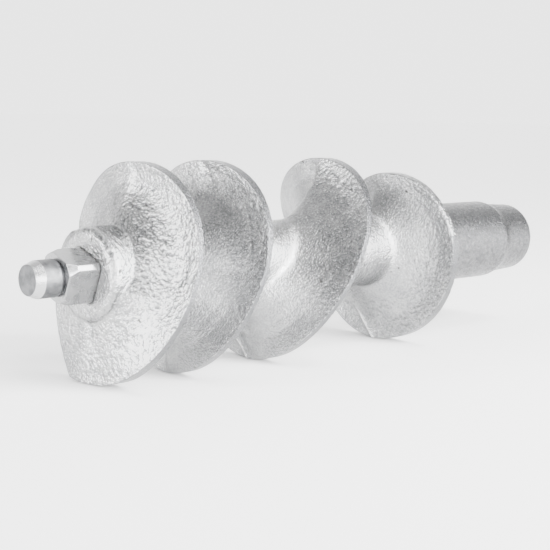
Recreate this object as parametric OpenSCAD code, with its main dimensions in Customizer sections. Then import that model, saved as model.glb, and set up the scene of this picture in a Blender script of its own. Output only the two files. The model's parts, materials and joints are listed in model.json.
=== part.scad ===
// Feed screw of a hand meat mincer: one cast worm with a pressed-in steel plate pin.
// X is the axis of the screw. The origin is the centre of the shoulder between the rear
// journal and the drive end, and +X points to the discharge end, where the plate pin is.
// Turn angles run along the flight, from its rear start to its front end.

/* [Flight] */
// Diameter over the turned outer land of the flight (mm)
flight_d = 70.5; // [60:0.1:82]
// Position of the flat rear face where the flight starts (mm)
start_x = 59.5; // [50:0.5:70]
// Position of the middle of the flight path (mm)
path_middle = 151.1; // [140:0.1:160]
// Advance of the flight over one and a half turns at its middle (mm)
path_advance = 53.5; // [40:0.5:70]
// How much the advance falls off towards the discharge (mm)
path_falloff = 29; // [15:0.5:40]
// Extra advance at both ends of the flight (mm)
path_ends = 21.9; // [10:0.1:30]
// Swing of the flight about its even path, from the two-part mould (mm)
mould_swing = 4.6; // [0:0.1:8]
// Fall of that swing towards the discharge end (mm)
swing_fall = 1.6; // [0:0.1:4]
// Turn angle by which the swing lags (degrees)
swing_lag = 6; // [0:1:30]
// Extra lag of the swing towards the discharge end (degrees)
swing_drift = 10; // [0:1:30]
// Turn angle on the far side of the last turn, where it leads its path (degrees)
side_lead_at = 1093; // [1080:1:1110]
// Lead of the last turn there (mm)
side_lead = 5; // [0:0.1:6]
// Width of the outer land at the side of the mould (mm)
land_w = 1.7; // [1:0.1:4]
// Draft of the flanks towards the parting line (degrees)
draft = 2.6; // [0.5:0.1:6]
// Turn angle where the flight leaves the journal (degrees)
flight_start = 0; // [-30:7.5:30]
// Turn angle where the first steep rise of the flight ends (degrees)
rise_at = 60; // [40:5:90]
// Radius of the flight where the first steep rise ends (mm)
rise_r = 26.6; // [20:0.1:34]
// Turn angle where the flight reaches its full diameter (degrees)
full_at = 170; // [120:5:220]
// Turn angle where the front flank comes flush with the boss face (degrees)
flush_at = 1364; // [1350:1:1380]
// Turn angle where the outer edge starts to run in to the boss (degrees)
run_in_at = 1366; // [1340:1:1380]
// Turn angle where the flight has run in to the boss (degrees)
flight_end = 1500; // [1425:7.5:1530]
// Width of the hollow fillet where the flight meets the core (mm)
root_fillet = 9; // [2:0.5:12]
// Height of the hollow fillet above the core (mm)
fillet_reach = 15.5; // [6:0.5:18]

/* [Core and boss] */
// Diameter of the core between the turns (mm)
core_d = 27; // [20:0.5:34]
// Diameter of the front boss behind the square (mm)
boss_d = 30.4; // [26:0.2:36]
// Position of the front face of the boss (mm)
boss_x = 203; // [198:0.5:208]
// Length of the parallel part of the boss (mm)
boss_len = 9; // [4:0.5:20]
// Edge radius of the boss face (mm)
boss_edge = 2.4; // [0.5:0.1:4]

/* [Knife square] */
// Distance across the flats of the knife square (mm)
square_af = 14; // [12:0.1:18]
// Diameter over the turned corners of the square (mm)
square_corner_d = 18; // [16:0.1:24]
// Position of the front face of the square (mm)
square_x = 214; // [208:0.5:220]
// Radius of the front face at its corners (mm)
square_face_r = 8; // [7:0.1:9]
// Length of the corner chamfer (mm)
square_chamfer = 3; // [0.5:0.1:4]
// Turn of the square about the axis (degrees)
square_turn = -21.4; // [-45:0.1:45]

/* [Plate pin] */
// Diameter of the plate pin (mm)
pin_d = 12; // [8:0.1:16]
// Length of the plate pin in front of the square (mm)
pin_len = 10; // [6:0.5:20]
// Width of the relief groove at the root of the pin (mm)
pin_groove = 1; // [0.5:0.1:2]
// Depth of the relief groove (mm)
groove_depth = 0.6; // [0.2:0.1:1]
// Length of the lead-in taper (mm)
pin_taper = 3; // [1:0.1:5]
// Diameter of the small end face (mm)
pin_tip_d = 9.6; // [6:0.1:12]
// Diameter of the spigot pressed into the worm (mm)
spigot_d = 9; // [6:0.1:10]
// Length of the spigot pressed into the worm (mm)
spigot_len = 18; // [10:1:30]

/* [Shank] */
// Diameter of the rear journal (mm)
journal_d = 31.5; // [28:0.1:36]
// Diameter of the drive end at the shoulder (mm)
drive_d = 29; // [24:0.1:32]
// Diameter of the drive end at its end face (mm)
drive_end_d = 27.4; // [22:0.1:31]
// Length of the drive end (mm)
drive_len = 19; // [12:0.5:30]
// Edge radius of the end face (mm)
drive_edge = 1.5; // [0.5:0.1:3]

/* [Hidden] */
// The worm is one casting and the plate pin is the only piece fitted to it.
$fn = 96;

flight_r = flight_d / 2;
core_r = core_d / 2;
boss_r = boss_d / 2;
journal_r = journal_d / 2;
neck_r = journal_r - 0.1;
neck_x = start_x - 14;

// Stations around one turn, every 7.5 degrees, with a close pair at each parting line.
step = 7.5;
seam = 3;
first_turn = flight_start - 75;
last_turn = flight_end + 90;
turn_angles = [
    for (i = [0 : 360 / step - 1])
        each (abs(cos(first_turn + step * i)) < 0.001
            ? [first_turn + step * i - seam, first_turn + step * i + seam]
            : [first_turn + step * i])
];
PER_TURN = len(turn_angles);
function angle(s) = 360 * floor(s / PER_TURN) + turn_angles[s % PER_TURN];
LAST = len([for (s = [0 : 6 * PER_TURN]) if (angle(s) < last_turn - 0.01) s]);

// Points of one section: flank stations on both sides, then stations along the core.
FLANK = 7;
STRIP = 7;
ROW = 1 + 2 * FLANK + STRIP;

function unit(u) = min(1, max(0, u));
function ease(u) = unit(u) * unit(u) * (3 - 2 * unit(u));
function mix(a, b, u) = a * (1 - u) + b * u;
function soft_max(a, b, s) = (a + b + sqrt((a - b) * (a - b) + s * s)) / 2;
function soft_min(a, b, s) = (a + b - sqrt((a - b) * (a - b) + s * s)) / 2;

// Radius of the body under the flight, from the neck behind it to the face of the boss.
body_profile = [
    [neck_x, neck_r],
    [start_x + 2, neck_r],
    [start_x + 9, core_r + 0.6],
    [start_x + 16, core_r],
    [boss_x - boss_len - 12, core_r],
    [boss_x - boss_len - 6, core_r + 0.5],
    [boss_x - boss_len, boss_r]
];
function edge_r(x) =
    boss_r - boss_edge
    + sqrt(max(0, boss_edge * boss_edge - pow(max(0, x - boss_x + boss_edge), 2)));
function body_r(x) = x < boss_x - boss_len ? lookup(x, body_profile) : edge_r(x);

// Middle of the flight at a turn angle. The even path is a cubic about its middle turn.
middle_turn = 810;
lead_spread = 24;
function along(t) = (t - middle_turn) / 540;
function even_path(k) =
    path_middle + path_advance * k - path_falloff * k * k + path_ends * k * k * k;
function swing(t, k) =
    (mould_swing - swing_fall * k) * sin(2 * (t - swing_lag - swing_drift * k));
function lead(t) = side_lead * exp(-pow((t - side_lead_at) / lead_spread, 2));
function path(t) = even_path(along(t)) + swing(t, along(t)) + lead(t);

// Outer radius of the flight: it grows out of the journal and runs in to the boss.
run_in_power = 3.8;
function span(t, from, to) = unit((t - from) / (to - from));
function rise(t) = mix(neck_r + 1, rise_r, sin(90 * span(t, flight_start, rise_at)));
function widen(t) = mix(rise_r, flight_r, span(t, rise_at, full_at));
function run_in(t) = pow(1 - span(t, run_in_at, flight_end), run_in_power);
function end_r(t) = mix(boss_r + 0.4, flight_r, run_in(t));
function outer_r(t) = t < rise_at ? rise(t) : min(widen(t), end_r(t));

// Half thickness, from the land and the draft of the two-part mould, and the root fillet.
fillet_power = 1.6;
function half_w(t, r) = land_w / 2 + (flight_r - abs(r * cos(t))) * tan(draft);
function fillet(r) = pow(1 - span(max(r, core_r), core_r, core_r + fillet_reach), fillet_power);

// Turn angle on the rim that lies on the same mould line as a point on a flank.
function half_turn(t) = t - 180 * floor(t / 180);
function mould_rim(t, r) = asin(min(1, r * abs(sin(t)) / flight_r));
function front_turn(t, r) = half_turn(t) > 90 ? 180 * ceil(t / 180) - mould_rim(t, r) : t;
function rear_turn(t, r) = half_turn(t) < 90 ? 180 * floor(t / 180) + mould_rim(t, r) : t;

// Flanks without the fillets. The rear one starts flat and stays clear of the boss face,
// and the front one comes flush with a line just behind that face.
front_limit = boss_x - 0.8;
rear_limit = boss_x - 8.8;
blend = 1.5;
start_blend = 0.4;
flush_turn = 24;
function start_front(t) = start_x + 1 + 2 * half_w(t, flight_r);
function free_front(t, r) =
    soft_min(path(front_turn(t, r)) + half_w(t, r), front_limit - 0.8, blend);
function free_rear(t, r) = soft_min(path(rear_turn(t, r)) - half_w(t, r), rear_limit, blend);
function flush(t) = ease(span(t, flush_at - flush_turn, flush_at));
function front_flank(t, r) =
    soft_max(mix(free_front(t, r), front_limit, flush(t)), start_front(t), blend);
function rear_flank(t, r) = soft_max(free_rear(t, r), start_x, start_blend);

// Fillets, kept narrow enough that two of them never meet in a channel. The front one fades
// out towards the boss and the rear one starts after the flat rear face.
gap_floor = 1.6;
function gap(t) =
    t > flight_end - 360
    ? 2 * (line_x(t + 360) - front_flank(t, core_r))
    : rear_flank(t + 360, core_r) - front_flank(t, core_r);
function fillet_w(t) = min(root_fillet, max(0.5, gap(t) / 2 - gap_floor));
function front_fillet(t, r) = fillet_w(t) * fillet(r) * ease((flight_end - t) / 150);
function rear_fillet(t, r) = fillet_w(t - 360) * fillet(r) * ease((t - 200) / 120);
function front_x(t, r) = min(front_flank(t, r) + front_fillet(t, r), front_limit + 0.1);
function rear_x(t, r) = rear_flank(t, r) - rear_fillet(t, r);

// Line on the body just behind the flight, where each section starts. It leaves the neck
// after the first turn and ends on the boss face.
line_gap = 0.8;
line_turn = first_turn + 360;
function behind(t) = rear_x(t, core_r) - line_gap;
function line_x(t) =
    t <= line_turn ? neck_x
    : t < flight_end ? mix(neck_x, behind(t), ease((t - line_turn) / 60))
    : t > last_turn - 0.01 ? boss_x
    : mix(boss_x - 0.15, behind(flight_end), pow(1 - span(t, flight_end, last_turn), 2));

// Section with the flight, and the bare body where there is none.
function body_spot(x) = [x, body_r(x)];
function rear_spot(t, r) = [rear_x(t, r), r];
function front_spot(t, r) = [front_x(t, r), r];
function flank_r(x, t, i) = mix(body_r(x), outer_r(t), i / (FLANK - 1));
function edge_len(x) = min(boss_edge, (boss_x - x) / 3);
function strip_x(x, stop, i) =
    stop < boss_x ? mix(x, stop, i / (STRIP + 1))
    : i < STRIP - 1 ? mix(x, boss_x - edge_len(x), i / (STRIP - 2))
    : boss_x - edge_len(x) * (1 - sin(30 * (i - STRIP + 2)));
function bare_u(x, stop, u) = mix(u, sin(90 * u), stop < boss_x ? 0 : unit((stop - x) / 12));
function bare_x(x, stop, u) = mix(x, stop, bare_u(x, stop, u));
function flight_spot(t, j) =
    j <= FLANK ? rear_spot(t, flank_r(rear_x(t, core_r), t, j - 1))
    : j <= 2 * FLANK ? front_spot(t, flank_r(front_x(t, core_r), t, 2 * FLANK - j))
    : body_spot(strip_x(front_x(t, core_r), line_x(t + 360), j - 2 * FLANK));
function bare_spot(t, j) = body_spot(bare_x(line_x(t), line_x(t + 360), j / ROW));
function spot(t, j) =
    j == 0 ? body_spot(line_x(t))
    : t < flight_start || t > flight_end ? bare_spot(t, j)
    : flight_spot(t, j);
function turn_point(t, p) = [p[0], -p[1] * cos(t), p[1] * sin(t)];

// The first and last sections shrink to one point each. The last turn ends on the boss face.
body_points = [
    for (s = [0 : LAST - 1], j = [0 : ROW - 1])
        turn_point(angle(s), spot(angle(s), j)),
    for (s = [LAST : LAST + PER_TURN - 1])
        turn_point(angle(s), body_spot(boss_x))
];
function at(s, j) =
    j == ROW ? at(s + PER_TURN, 0)
    : s == 0 || (s == PER_TURN && j == 0) ? 0
    : s == LAST + PER_TURN ? LAST * ROW
    : s >= LAST ? LAST * ROW + s - LAST
    : s * ROW + j;
body_faces = [
    [for (s = [PER_TURN - 1 : -1 : 0]) at(s, 0)],
    for (s = [0 : LAST - 1], j = [0 : ROW - 1])
        if (s < LAST - 1)
            [at(s, j), at(s + 1, j), at(s + 1, j + 1)],
    for (s = [1 : LAST - 1], j = [0 : ROW - 1])
        s < LAST - 1
            ? [at(s, j), at(s + 1, j + 1), at(s, j + 1)]
            : [at(s, j), at(LAST, 0), at(s, j + 1)],
    [for (s = [LAST : LAST + PER_TURN - 1]) at(s, 0)]
];

// Solid of revolution about X from a profile given as [x, r] points.
module turned(profile) {
    rotate([0, 90, 0])
        rotate([0, 0, 180])
            rotate_extrude()
                polygon([for (p = profile) [p[1], p[0]]]);
}

// Flight and body as they leave the mould, parted at the vertical plane through the axis.
module cast_body() {
    polyhedron(points = body_points, faces = body_faces, convexity = 12);
}

// Turned journal and the drive end behind it.
module shank() {
    turned([
        [-drive_len, 0],
        [-drive_len, drive_end_d / 2 - drive_edge],
        [-drive_len + drive_edge / 3, drive_end_d / 2 - drive_edge / 3],
        [-drive_len + drive_edge, drive_end_d / 2],
        [-2.6, drive_d / 2],
        [-1.2, drive_d / 2 + 0.3],
        [1.6, journal_r],
        [neck_x + 0.5, journal_r],
        [neck_x + 0.5, 0]
    ]);
}

// Turned blank of the knife square, with the corner chamfer at its front.
module square_blank() {
    turned([
        [boss_x - 6, 0],
        [boss_x - 6, square_corner_d / 2],
        [square_x - square_chamfer, square_corner_d / 2],
        [square_x, square_face_r],
        [square_x, 0]
    ]);
}

// Knife square: four milled flats on the turned blank.
module knife_square() {
    intersection() {
        square_blank();
        rotate([square_turn, 0, 0])
            translate([boss_x - 7, -square_af / 2, -square_af / 2])
                cube([square_x - boss_x + 8, square_af, square_af]);
    }
}

// Bore for the spigot of the plate pin.
module spigot_bore() {
    translate([square_x - spigot_len, 0, 0])
        rotate([0, 90, 0])
            cylinder(h = spigot_len + 1, d = spigot_d);
}

module worm_casting() {
    color([0.72, 0.73, 0.74])
        difference() {
            union() {
                cast_body();
                shank();
                knife_square();
            }
            spigot_bore();
        }
}

// Plate pin: a turned journal for the cutting plate with a spigot behind it.
module plate_pin() {
    color([0.62, 0.63, 0.65]) {
        turned([
            [square_x - spigot_len, 0],
            [square_x - spigot_len, spigot_d / 2 - 0.5],
            [square_x - spigot_len + 0.5, spigot_d / 2],
            [square_x, spigot_d / 2],
            [square_x, 0]
        ]);
        translate([square_x, 0, 0])
            rotate([0, 90, 0])
                cylinder(h = pin_groove, d = pin_d - 2 * groove_depth);
        translate([square_x + pin_groove, 0, 0])
            rotate([0, 90, 0])
                cylinder(h = pin_len - pin_taper - pin_groove, d = pin_d);
        translate([square_x + pin_len - pin_taper, 0, 0])
            rotate([0, 90, 0])
                cylinder(h = pin_taper, d1 = pin_d, d2 = pin_tip_d);
    }
}

worm_casting();
plate_pin();
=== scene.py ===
"""Looks of the mincer's feed screw: a tinned casting with machined ends, and its plate pin."""

import json
import math

import bmesh
import bpy
import numpy as np
from mathutils import Matrix, Vector

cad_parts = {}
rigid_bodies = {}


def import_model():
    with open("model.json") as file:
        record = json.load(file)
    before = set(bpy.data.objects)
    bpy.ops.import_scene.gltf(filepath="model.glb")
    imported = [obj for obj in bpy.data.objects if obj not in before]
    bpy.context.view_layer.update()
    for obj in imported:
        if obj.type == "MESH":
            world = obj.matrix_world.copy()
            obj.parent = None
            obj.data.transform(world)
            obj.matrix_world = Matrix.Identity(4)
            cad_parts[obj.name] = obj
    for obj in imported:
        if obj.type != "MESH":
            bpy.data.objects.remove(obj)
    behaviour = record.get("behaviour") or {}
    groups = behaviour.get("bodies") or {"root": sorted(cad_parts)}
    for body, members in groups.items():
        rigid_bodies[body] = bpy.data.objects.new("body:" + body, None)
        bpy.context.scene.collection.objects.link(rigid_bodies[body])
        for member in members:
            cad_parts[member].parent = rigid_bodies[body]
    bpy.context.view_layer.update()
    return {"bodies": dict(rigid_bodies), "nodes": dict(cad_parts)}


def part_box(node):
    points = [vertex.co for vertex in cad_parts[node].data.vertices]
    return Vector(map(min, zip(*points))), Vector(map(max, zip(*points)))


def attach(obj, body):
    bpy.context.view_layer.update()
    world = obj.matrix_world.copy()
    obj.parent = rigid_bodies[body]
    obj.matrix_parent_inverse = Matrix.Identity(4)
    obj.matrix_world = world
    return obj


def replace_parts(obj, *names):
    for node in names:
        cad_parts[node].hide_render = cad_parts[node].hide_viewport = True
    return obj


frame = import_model()
ROOT = next(iter(frame["bodies"]))
MM = 0.001

worm = frame["nodes"]["worm_casting"]
worm_low, worm_high = (Vector(corner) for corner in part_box("worm_casting"))

# Places along X and sizes of the casting, in metres, and the turn of its square, in degrees.
FLIGHT_R = worm_high.z
SQUARE_END = worm_high.x
BOSS_X = SQUARE_END - 11 * MM
NECK_X = 45.5 * MM
JOURNAL_R = 15.75 * MM
BORE_R = 4.6 * MM
BORE_BACK = BOSS_X - 9 * MM
SQUARE_HALF = 7 * MM
SQUARE_CORNER_R = 9 * MM
SQUARE_TURN = -21.4

VOXEL = 0.4 * MM
SKIN_ROUNDS = 6
FILLET_ROUNDS = 140
PIN_STEPS = 144


# ---------------------------------------------------------------- camera, light and floor

FOCAL_LENGTH_MM = 84.2
CAMERA_PLACE = (0.4384, 0.3276, 0.0540)
CAMERA_AIM = (-0.69138, -0.71053, -0.13095)
CAMERA_ROLL = 1.19

# The sky's even level, and its wide soft windows and shades:
# azimuth, elevation, angle of full effect and of no effect, in degrees, and what each adds.
SKY_LEVEL = 1.45
SKY_WINDOWS = (
    (108, 1, 12, 42, 21.0),
    (48, 2, 10, 36, 8.0),
    (-8, 4, 8, 32, 20.0),
    (115, 66, 8, 26, 4.0),
    (168, 18, 12, 46, -1.1),
    (-5, 48, 12, 44, -1.0),
    (-134, 5, 20, 60, 1.9),
)

FLOOR_RADIUS = 8
FLOOR_GAP = 0.2 * MM
FLOOR_GLOW = 0.3


def link(name, data):
    """New object of that name in the scene."""
    made = bpy.data.objects.new(name, data)
    bpy.context.scene.collection.objects.link(made)
    return made


def look(location, direction, roll=0.0):
    """World matrix of something at location that looks along direction."""
    turn = Vector(direction).to_track_quat("-Z", "Y").to_matrix().to_4x4()
    return Matrix.Translation(location) @ turn @ Matrix.Rotation(math.radians(roll), 4, "Z")


def add_camera():
    camera = link("camera", bpy.data.cameras.new("camera"))
    camera.data.sensor_width = 36
    camera.data.lens = FOCAL_LENGTH_MM
    camera.data.clip_start = 0.01
    camera.data.clip_end = 50
    camera.matrix_world = look(CAMERA_PLACE, CAMERA_AIM, CAMERA_ROLL)
    bpy.context.scene.camera = camera


def area_light(name, place, target, size, power):
    lamp = bpy.data.lights.new(name, "AREA")
    lamp.shape = "RECTANGLE"
    lamp.size, lamp.size_y = size
    lamp.energy = power
    light = link(name, lamp)
    light.matrix_world = look(place, Vector(target) - Vector(place))


def bearing(azimuth, elevation):
    """Unit vector from degrees of azimuth (from +X towards +Y) and elevation."""
    a, e = math.radians(azimuth), math.radians(elevation)
    return Vector((math.cos(e) * math.cos(a), math.cos(e) * math.sin(a), math.sin(e)))


def add_world():
    """Soft white studio: an even sky with windows and shades in it."""
    world = bpy.data.worlds.new("studio")
    world.use_nodes = True
    tree = world.node_tree
    place = tree.nodes.new("ShaderNodeTexCoord").outputs["Generated"]
    level = SKY_LEVEL
    for azimuth, elevation, inner, outer, gain in SKY_WINDOWS:
        facing = tree.nodes.new("ShaderNodeVectorMath")
        facing.operation = "DOT_PRODUCT"
        facing.inputs[1].default_value = bearing(azimuth, elevation)
        tree.links.new(place, facing.inputs[0])
        ramp = tree.nodes.new("ShaderNodeMapRange")
        ramp.interpolation_type = "SMOOTHSTEP"
        ramp.inputs["From Min"].default_value = math.cos(math.radians(outer))
        ramp.inputs["From Max"].default_value = math.cos(math.radians(inner))
        ramp.inputs["To Max"].default_value = gain
        tree.links.new(facing.outputs["Value"], ramp.inputs["Value"])
        total = tree.nodes.new("ShaderNodeMath")
        if isinstance(level, float):
            total.inputs[0].default_value = level
        else:
            tree.links.new(level, total.inputs[0])
        tree.links.new(ramp.outputs["Result"], total.inputs[1])
        level = total.outputs["Value"]
    background = tree.nodes["Background"]
    background.inputs["Color"].default_value = (1, 1, 1, 1)
    tree.links.new(level, background.inputs["Strength"])
    bpy.context.scene.world = world


def add_light():
    add_world()
    middle, front_half, table = (0.1, 0, 0), (0.2, 0, 0), (-0.03, 0.26, -0.035)
    area_light("side", (-0.06, 0.86, 0.10), middle, size=(0.16, 0.24), power=7)
    area_light("front", (1.02, -0.22, 0.18), front_half, size=(0.14, 0.16), power=4.5)
    area_light("table", (-0.06, 0.46, 0.36), table, size=(0.20, 0.20), power=7)
    area_light("top", (-0.05, 0.35, 0.80), middle, size=(0.14, 0.14), power=3)


def add_floor():
    """Plain pale floor, just under the flight."""
    place = (0, 0, worm_low.z - FLOOR_GAP)
    bpy.ops.mesh.primitive_circle_add(
        vertices=96, radius=FLOOR_RADIUS, fill_type="NGON", location=place
    )
    floor = bpy.context.object
    floor.name = "floor"
    material = bpy.data.materials.new("floor")
    material.use_nodes = True
    shader = material.node_tree.nodes["Principled BSDF"]
    shader.inputs["Base Color"].default_value = (0.96, 0.96, 0.96, 1)
    shader.inputs["Roughness"].default_value = 0.9
    shader.inputs["Emission Color"].default_value = (1, 1, 1, 1)
    shader.inputs["Emission Strength"].default_value = FLOOR_GLOW
    floor.data.materials.append(material)


# ---------------------------------------------------------------- materials

class Nodes:
    """Short calls for building a metal's node tree."""

    def __init__(self, name):
        self.material = bpy.data.materials.new(name)
        self.material.use_nodes = True
        self.tree = self.material.node_tree
        self.shader = self.tree.nodes["Principled BSDF"]
        self.shader.inputs["Metallic"].default_value = 1
        self.place = self.add("ShaderNodeTexCoord").outputs["Object"]

    def add(self, kind, **values):
        node = self.tree.nodes.new(kind)
        for key, value in values.items():
            setattr(node, key, value)
        return node

    def join(self, source, target):
        self.tree.links.new(source, target)

    def feed(self, target, value):
        """Sets a socket to a number, or joins another socket to it."""
        if isinstance(value, (int, float)):
            target.default_value = value
        else:
            self.join(value, target)

    def attribute(self, name):
        return self.add("ShaderNodeAttribute", attribute_name=name).outputs["Fac"]

    def noise(self, size_mm, detail=3.0, rough=0.55, stretch=None):
        """Noise with features of about size_mm, optionally stretched along the axes."""
        place = self.place
        if stretch:
            mapping = self.add("ShaderNodeMapping")
            mapping.inputs["Scale"].default_value = stretch
            self.join(place, mapping.inputs["Vector"])
            place = mapping.outputs["Vector"]
        node = self.add("ShaderNodeTexNoise")
        node.inputs["Scale"].default_value = 1 / (size_mm * MM)
        node.inputs["Detail"].default_value = detail
        node.inputs["Roughness"].default_value = rough
        self.join(place, node.inputs["Vector"])
        return node.outputs["Fac"]

    def ramp(self, value, low, high, start=0.0, end=1.0):
        """Maps value from the range start..end to the range low..high."""
        node = self.add("ShaderNodeMapRange")
        limits = (("From Min", start), ("From Max", end), ("To Min", low), ("To Max", high))
        for key, number in limits:
            node.inputs[key].default_value = number
        self.join(value, node.inputs["Value"])
        return node.outputs["Result"]

    def blend(self, amount, first, second):
        """Colour between first and second, each a colour or a socket."""
        node = self.add("ShaderNodeMix", data_type="RGBA")
        for socket, value in ((node.inputs[6], first), (node.inputs[7], second)):
            if isinstance(value, tuple):
                socket.default_value = (*value, 1)
            else:
                self.join(value, socket)
        self.join(amount, node.inputs[0])
        return node.outputs[2]

    def math(self, kind, first, second):
        node = self.add("ShaderNodeMath", operation=kind)
        for socket, value in zip(node.inputs, (first, second)):
            self.feed(socket, value)
        return node.outputs["Value"]

    def bump(self, height, depth_mm, after=None):
        node = self.add("ShaderNodeBump")
        node.inputs["Strength"].default_value = 1
        node.inputs["Distance"].default_value = depth_mm * MM
        self.join(height, node.inputs["Height"])
        if after:
            self.join(after, node.inputs["Normal"])
        return node.outputs["Normal"]

    def finish(self, colour, roughness, normal):
        for name, socket in (("Base Color", colour), ("Roughness", roughness), ("Normal", normal)):
            self.join(socket, self.shader.inputs[name])
        return self.material


def tinned_iron():
    """Bright tin over rough cast iron, greyer on the turned rim and the worn journal; painted
    shade in hollows and the square's groove, dirt in pits, a painted highlight on the rubbed
    parting ridge.
    """
    tin_dark, tin_light = (0.27, 0.275, 0.28), (0.38, 0.382, 0.385)
    rim_dark, rim_light = (0.12, 0.123, 0.128), (0.18, 0.183, 0.188)
    worn_dark, worn_light = (0.07, 0.071, 0.074), (0.2, 0.202, 0.206)
    glint, rub_and_highlight_colour = (0.62, 0.62, 0.62), (0.8, 0.8, 0.8)
    hollow_shade_colour, dirt_and_groove_shade = (0.16, 0.162, 0.166), (0.07, 0.068, 0.065)
    n = Nodes("tinned_iron")
    turned = n.attribute("turned")
    journal = n.attribute("journal")
    hollow = n.attribute("hollow")
    rub_and_ridge_highlight = n.attribute("rub_and_ridge_highlight")
    pits_and_groove_shade = n.attribute("pits_and_groove_shade")
    cloud = n.noise(9, detail=4)
    blotch = n.noise(1.7, detail=5, rough=0.7)
    grain = n.noise(0.65, detail=3, rough=0.6)
    fine = n.noise(0.28, detail=2)
    tin = n.blend(n.ramp(cloud, 0, 1, 0.35, 0.65), tin_dark, tin_light)
    tin = n.blend(n.ramp(grain, 0, 0.6, 0.45, 0.72), tin, glint)
    # Painted shade: the relief's valleys are darkened towards a dull colour.
    tin = n.blend(n.ramp(hollow, 0, 0.6, 0.1, 0.9), tin, hollow_shade_colour)
    rim = n.blend(n.ramp(cloud, 0, 1, 0.3, 0.7), rim_dark, rim_light)
    worn = n.blend(n.ramp(blotch, 0, 1, 0.3, 0.7), worn_dark, worn_light)
    # Painted highlight along the parting ridge, together with tin rubbed bright there.
    tin = n.blend(n.ramp(rub_and_ridge_highlight, 0, 0.8, 0.2, 0.8), tin, rub_and_highlight_colour)
    tin = n.blend(turned, tin, rim)
    tin = n.blend(journal, tin, worn)
    # Dirt in random pits, and painted shade in the groove at the square's root.
    colour = n.blend(pits_and_groove_shade, tin, dirt_and_groove_shade)
    rough = n.math("ADD", n.ramp(grain, 0.12, 0.26, 0.3, 0.7), n.ramp(turned, 0, 0.07))
    worn_rough = n.math("MULTIPLY", journal, n.ramp(blotch, 0.16, 0.02, 0.3, 0.7))
    rough = n.math("ADD", rough, worn_rough)
    rough = n.math("ADD", rough, n.ramp(pits_and_groove_shade, 0, 0.3))
    return n.finish(colour, rough, n.bump(fine, 0.04, after=n.bump(grain, 0.27)))


def machined_iron():
    """Milled and tinned flats with faint cutter marks."""
    tin_dark, tin_light = (0.33, 0.333, 0.338), (0.42, 0.422, 0.426)
    n = Nodes("machined_iron")
    cloud = n.noise(3, detail=4)
    marks = n.noise(0.5, detail=3, stretch=(0.15, 1, 1))
    colour = n.blend(n.ramp(cloud, 0, 1, 0.3, 0.7), tin_dark, tin_light)
    return n.finish(colour, n.ramp(cloud, 0.22, 0.34, 0.3, 0.7), n.bump(marks, 0.02))


def turned_steel():
    """Turned pin with fine rings around its axis, small nicks and a painted highlight on its
    taper.
    """
    steel_dark, steel_light = (0.10, 0.102, 0.106), (0.19, 0.193, 0.2)
    painted_taper_highlight = (0.50, 0.503, 0.51)
    n = Nodes("turned_steel")
    taper = n.attribute("taper")
    cloud = n.noise(2.5, detail=4)
    nicks = n.noise(0.45, detail=3)
    rings = n.noise(0.35, detail=2, stretch=(1, 0.02, 0.02))
    steel = n.blend(n.ramp(cloud, 0, 1, 0.35, 0.7), steel_dark, steel_light)
    # Painted highlight: the taper gets a much brighter colour than the rest of the pin.
    colour = n.blend(taper, steel, painted_taper_highlight)
    rough = n.math("MULTIPLY", n.ramp(cloud, 0.34, 0.48, 0.3, 0.7), n.ramp(taper, 1, 0.6))
    return n.finish(colour, rough, n.bump(nicks, 0.09, after=n.bump(rings, 0.03)))


# ---------------------------------------------------------------- meshes

def copy_of(node, name):
    piece = link(name, node.data.copy())
    piece.data.transform(node.matrix_world)
    return piece


def apply_modifiers(piece):
    """Bakes the piece's modifiers into its mesh."""
    deps = bpy.context.evaluated_depsgraph_get()
    mesh = bpy.data.meshes.new_from_object(piece.evaluated_get(deps))
    piece.modifiers.clear()
    piece.data = mesh


def vertex_rows(mesh, field="co"):
    """The places of the mesh's vertices, or another field of three numbers, a row for each."""
    rows = np.empty(len(mesh.vertices) * 3)
    mesh.vertices.foreach_get(field, rows)
    return rows.reshape(-1, 3)


def set_attribute(mesh, name, values):
    attribute = mesh.attributes.new(name, "FLOAT", "POINT")
    attribute.data.foreach_set("value", np.ascontiguousarray(values, dtype=np.float32))


def from_axis(points):
    """Distance of each point from the X axis."""
    return np.hypot(points[:, 1], points[:, 2])


def step(value, low, high):
    """Smooth step from 0 at low to 1 at high."""
    u = np.clip((value - low) / (high - low), 0, 1)
    return u * u * (3 - 2 * u)


def rise(length, low_mm, high_mm):
    """Smooth step of a length in metres, from 0 at low_mm to 1 at high_mm."""
    return step(length, low_mm * MM, high_mm * MM)


def fall(length, low_mm, high_mm):
    """Smooth step of a length in metres, from 1 at low_mm to 0 at high_mm."""
    return 1 - rise(length, low_mm, high_mm)


def lattice(points, size_mm, seed):
    """Smooth value noise in -1..1 with cells of the given size."""
    table_size = 4096
    random = np.random.default_rng(seed)
    table = random.uniform(-1, 1, table_size)
    place = points / (size_mm * MM) + 1000 * random.uniform(0.2, 0.8, 3)
    cell = np.floor(place).astype(np.int64)
    part = place - cell
    part = part * part * (3 - 2 * part)
    total = np.zeros(len(points))
    for corner in np.ndindex(2, 2, 2):
        at = cell + corner
        mixed = at[:, 0] * 73856093 ^ at[:, 1] * 19349663 ^ at[:, 2] * 83492791
        weight = np.prod(np.where(corner, part, 1 - part), axis=1)
        total += table[mixed & (table_size - 1)] * weight
    return total


def smooth_skin(piece, rounds, weights=None):
    """Bakes the piece's modifiers and a smoothing, which follows the weights where given."""
    smooth = piece.modifiers.new("smooth", "SMOOTH")
    smooth.factor = 0.5
    smooth.iterations = rounds
    if weights is not None:
        levels = 10
        group = piece.vertex_groups.new(name="smoothed")
        for level in range(1, levels + 1):
            chosen = np.flatnonzero(np.round(weights * levels) == level)
            group.add(chosen.tolist(), level / levels, "REPLACE")
        smooth.vertex_group = group.name
    apply_modifiers(piece)


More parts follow.
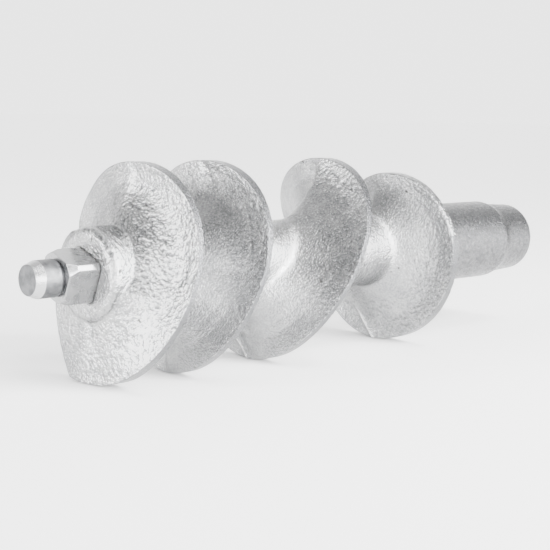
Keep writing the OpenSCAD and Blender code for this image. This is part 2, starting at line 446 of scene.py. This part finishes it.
def weigh_normals(piece):
    """Shades the piece's broad faces flat, so that only its narrow edges look round."""
    weighted = piece.modifiers.new("normals", "WEIGHTED_NORMAL")
    weighted.weight = 90


def soften_edges(piece, width_mm):
    bevel = piece.modifiers.new("edges", "BEVEL")
    bevel.width = width_mm * MM
    bevel.segments = 2
    bevel.limit_method = "ANGLE"
    bevel.angle_limit = math.radians(12)
    weigh_normals(piece)


def welded(mesh):
    """The mesh for editing, with its seams closed."""
    shape = bmesh.new()
    shape.from_mesh(mesh)
    bmesh.ops.remove_doubles(shape, verts=shape.verts, dist=0.002 * MM)
    return shape


def write_back(shape, mesh):
    shape.to_mesh(mesh)
    shape.free()


def in_bore(vertex):
    return math.hypot(vertex.co.y, vertex.co.z) < BORE_R


def finish_piece(piece, material):
    piece.data.materials.clear()
    piece.data.materials.append(material)
    piece.data.shade_smooth()
    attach(piece, ROOT)


# ---------------------------------------------------------------- cast skin

TURNED_OFF = 0.8 * MM
BOSS_FACE_SLACK = 0.02 * MM

# Relief of the skin: seed, then in millimetres its cells, its height and how much more
# height it has where the skin is coarse.
SWELL = (1, 4, 0.05, 0)
RIPPLE = (2, 0.9, 0.025, 0.085)
GRAIN = (3, 0.56, 0.055, 0.105)
# Depth of a relief valley that gets the full painted shade, in millimetres.
HOLLOW_MM = 0.12

# Ranges over which something begins or ends, in millimetres: along X,
FLIGHT_BEGINS, FLIGHT_ENDS = (62, 66), (186, 190)
REAR_TURN_ENDS, FRONT_FACE_BEGINS = (84, 92), (182, 188)
RIDGE_ENDS = (158, 162)
# towards the photographed side, across the mould's joint, and down,
NEAR_SIDE, ROUGH_HALF, UNDERSIDE, RIDGE_DOWN = (6, 22), (-6, 4), (-6, 8), (19, 31)
# out from the axis,
CORE_FILLET = (18, 24)
OUTER_FLIGHT, OUTER_REAR_TURN, OUTER_FRONT_FACE = (20, 33), (17, 24), (15, 19)
# and out from the square's outline.
GROOVE, SMOOTH_BORDER = (0.25, 0.6), (0.6, 2)

GROOVE_DEPTH = 0.3 * MM
RIDGE_HEIGHT_MM = 0.6
RIDGE_WIDTH = 1.1 * MM
RIDGE_LEAN = 0.9
PIT_EDGE = (0.97, 1.10)


def cut_square(mesh):
    """Takes the square off the front of the mesh and closes the boss face again."""
    shape = welded(mesh)
    front = BOSS_X + BOSS_FACE_SLACK
    square = [face for face in shape.faces if max(v.co.x for v in face.verts) > front]
    bmesh.ops.delete(shape, geom=square, context="FACES")
    bore = [v for v in shape.verts if in_bore(v) and v.co.x > BORE_BACK]
    bmesh.ops.delete(shape, geom=bore, context="VERTS")
    bmesh.ops.holes_fill(shape, edges=[edge for edge in shape.edges if edge.is_boundary])
    write_back(shape, mesh)


def grow_rim(mesh):
    """Lets the flight's rim stand proud by what turning takes off again."""
    points = vertex_rows(mesh)
    on_rim = from_axis(points) > FLIGHT_R - 0.05 * MM
    points[:, 1:] *= np.where(on_rim, 1 + TURNED_OFF / FLIGHT_R, 1)[:, None]
    mesh.vertices.foreach_set("co", points.ravel())


def remesh_skin(piece):
    """Gives the piece an even, fine mesh with soft fillets between the flight and the core."""
    remesh = piece.modifiers.new("remesh", "REMESH")
    remesh.mode = "VOXEL"
    remesh.voxel_size = VOXEL
    remesh.use_smooth_shade = True
    smooth_skin(piece, SKIN_ROUNDS)
    points = vertex_rows(piece.data)
    in_flight = rise(points[:, 0], *FLIGHT_BEGINS) * fall(points[:, 0], *FLIGHT_ENDS)
    smooth_skin(piece, FILLET_ROUNDS, fall(from_axis(points), *CORE_FILLET) * in_flight)


def beside_square(points):
    """Distance of each point from the outline of the square, seen along the axis."""
    turn = math.radians(SQUARE_TURN)
    a = np.abs(points[:, 1] * math.cos(turn) + points[:, 2] * math.sin(turn))
    b = np.abs(points[:, 2] * math.cos(turn) - points[:, 1] * math.sin(turn))
    return np.maximum(np.maximum(a, b) - SQUARE_HALF, np.hypot(a, b) - SQUARE_CORNER_R)


def coarseness(points):
    """From 0 to 1, most on the outer flight on the photographed side and at both its ends."""
    radius = from_axis(points)
    leaning = points[:, 1] + 0.8 * points[:, 2]
    coarse = rise(radius, *OUTER_FLIGHT) * rise(leaning, *NEAR_SIDE)
    rear_turn = fall(points[:, 0], *REAR_TURN_ENDS) * rise(-points[:, 2], *UNDERSIDE)
    front_face = rise(points[:, 0], *FRONT_FACE_BEGINS)
    coarse = np.maximum(coarse, 0.8 * rear_turn * rise(radius, *OUTER_REAR_TURN))
    return np.maximum(coarse, front_face * (0.5 + 0.4 * rise(radius, *OUTER_FRONT_FACE)))


def relief(points, coarse, seed, cell_mm, height_mm, more_mm):
    """Height of one kind of relief at each point, in millimetres."""
    return lattice(points, cell_mm, seed) * (height_mm + more_mm * coarse)


def cast_strength(points, outline):
    """How strong the relief is: the mould's half towards +Y left it rougher than the other,
    and it fades on the journal and beside the square."""
    journal = 1 - step(points[:, 0], NECK_X - MM, NECK_X + MM)
    half = 0.45 + 0.55 * rise(points[:, 1], *ROUGH_HALF)
    return half * (1 - 0.5 * journal) * (1 - 0.6 * fall(outline, *SMOOTH_BORDER))


def parting_ridge(points):
    """From 0 to 1, the thin ridge of metal that the mould's joint left low on the flight."""
    parting = points[:, 1] + RIDGE_LEAN * (FLIGHT_R + points[:, 2])
    ridge = np.exp(-((parting / RIDGE_WIDTH) ** 2)) * rise(-points[:, 2], *RIDGE_DOWN)
    return ridge * fall(points[:, 0], *RIDGE_ENDS)


def turn_down(points):
    """Takes off what stands proud of the turned diameters, and says which points were the rim."""
    radius = from_axis(points)
    limit = np.where(points[:, 0] < NECK_X, JOURNAL_R + 0.03 * MM, FLIGHT_R)
    shrink = np.minimum(1, limit / np.maximum(radius, 1e-6))
    points[:, 1:] *= shrink[:, None]
    points[:, 0] = np.clip(points[:, 0], worm_low.x, SQUARE_END)
    return (radius > FLIGHT_R) * 1.0


def casting_skin():
    """The worm without its square: roughened where it was cast, then turned to its diameters."""
    piece = copy_of(worm, "casting_skin")
    cut_square(piece.data)
    grow_rim(piece.data)
    remesh_skin(piece)
    mesh = piece.data
    points = vertex_rows(mesh)
    normals = vertex_rows(mesh, "normal")

    coarse = coarseness(points)
    swell, ripple, grain = (relief(points, coarse, *kind) for kind in (SWELL, RIPPLE, GRAIN))
    outline = beside_square(points)
    cast = cast_strength(points, outline)
    ridge = parting_ridge(points)
    groove = fall(outline, *GROOVE) * (points[:, 0] > BOSS_X - MM)
    height_mm = (swell + ripple + grain) * cast + RIDGE_HEIGHT_MM * ridge
    points = points + normals * (height_mm * MM)[:, None]
    points[:, 0] -= GROOVE_DEPTH * groove
    rim = turn_down(points)
    mesh.vertices.foreach_set("co", points.ravel())
    mesh.update()

    speckle = lattice(points, 2.2, 5) + 0.35 * lattice(points, 0.8, 6)
    journal = 1 - step(points[:, 0], NECK_X - 12 * MM, NECK_X + 12 * MM)
    set_attribute(mesh, "turned", rim)
    # Painted highlight and rubbed tin along the parting ridge, off the turned rim.
    set_attribute(mesh, "rub_and_ridge_highlight", ridge * (1 - rim))
    # Painted shade in the relief's valleys, kept off the turned rim.
    set_attribute(mesh, "hollow", np.clip(-(ripple + grain) / HOLLOW_MM, 0, 1) * (1 - rim))
    set_attribute(mesh, "journal", journal)
    # Random pits of dirt, and painted shade along the groove around the square.
    set_attribute(mesh, "pits_and_groove_shade", np.maximum(step(speckle, *PIT_EDGE), 0.8 * groove))
    finish_piece(piece, tinned_iron())
    return piece


# ---------------------------------------------------------------- square and pin

def knife_square():
    """Crisp milled square with softened edges, let a little way into the boss."""
    piece = copy_of(worm, "knife_square")
    shape = welded(piece.data)
    front = BOSS_X + BOSS_FACE_SLACK
    shed = [
        face for face in shape.faces
        if face.calc_center_median().x < front or all(in_bore(v) for v in face.verts)
    ]
    bmesh.ops.delete(shape, geom=shed, context="FACES")
    for vertex in shape.verts:
        if vertex.co.x < BOSS_X + 0.05 * MM:
            vertex.co.x -= 0.8 * MM
    bmesh.ops.dissolve_limit(
        shape, angle_limit=math.radians(1), verts=shape.verts, edges=shape.edges
    )
    write_back(shape, piece.data)
    soften_edges(piece, 0.14)
    finish_piece(piece, machined_iron())


def plate_pin():
    """Pin turned from a profile of (distance from the square, radius) in millimetres."""
    relief = [
        (-1.5, 4.4), (0.02, 4.4), (0.02, 5.6), (0.08, 5.66), (0.55, 5.66),
        (0.72, 5.7), (0.84, 5.78), (0.92, 5.9), (1.04, 5.98), (1.2, 6.0),
    ]
    cutter_marks = [(1.2 + 0.16 * i, 5.99 + 0.01 * (i % 2)) for i in range(1, 35)]
    lead_in = [(6.93, 5.99), (7.07, 5.96), (9.86, 4.87), (9.96, 4.8), (10, 4.7), (10, 0.02)]
    profile = relief + cutter_marks + lead_in
    points = []
    for i in range(PIN_STEPS):
        a = 2 * math.pi * i / PIN_STEPS
        y, z = math.cos(a), math.sin(a)
        points += [(SQUARE_END + x * MM, r * MM * y, r * MM * z) for x, r in profile]
    count = len(profile)
    faces = []
    for i in range(PIN_STEPS):
        here, there = i * count, (i + 1) % PIN_STEPS * count
        faces += [(here + j, there + j, there + j + 1, here + j + 1) for j in range(count - 1)]
    mesh = bpy.data.meshes.new("plate_pin_turned")
    mesh.from_pydata(points, [], faces)
    along = vertex_rows(mesh)[:, 0] - SQUARE_END
    set_attribute(mesh, "taper", rise(along, 6.9, 7.05) * fall(along, 9.9, 9.97))
    piece = link("plate_pin_turned", mesh)
    weigh_normals(piece)
    finish_piece(piece, turned_steel())
    return piece


add_camera()
add_light()
add_floor()
skin = casting_skin()
knife_square()
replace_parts(skin, "worm_casting")
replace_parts(plate_pin(), "plate_pin")
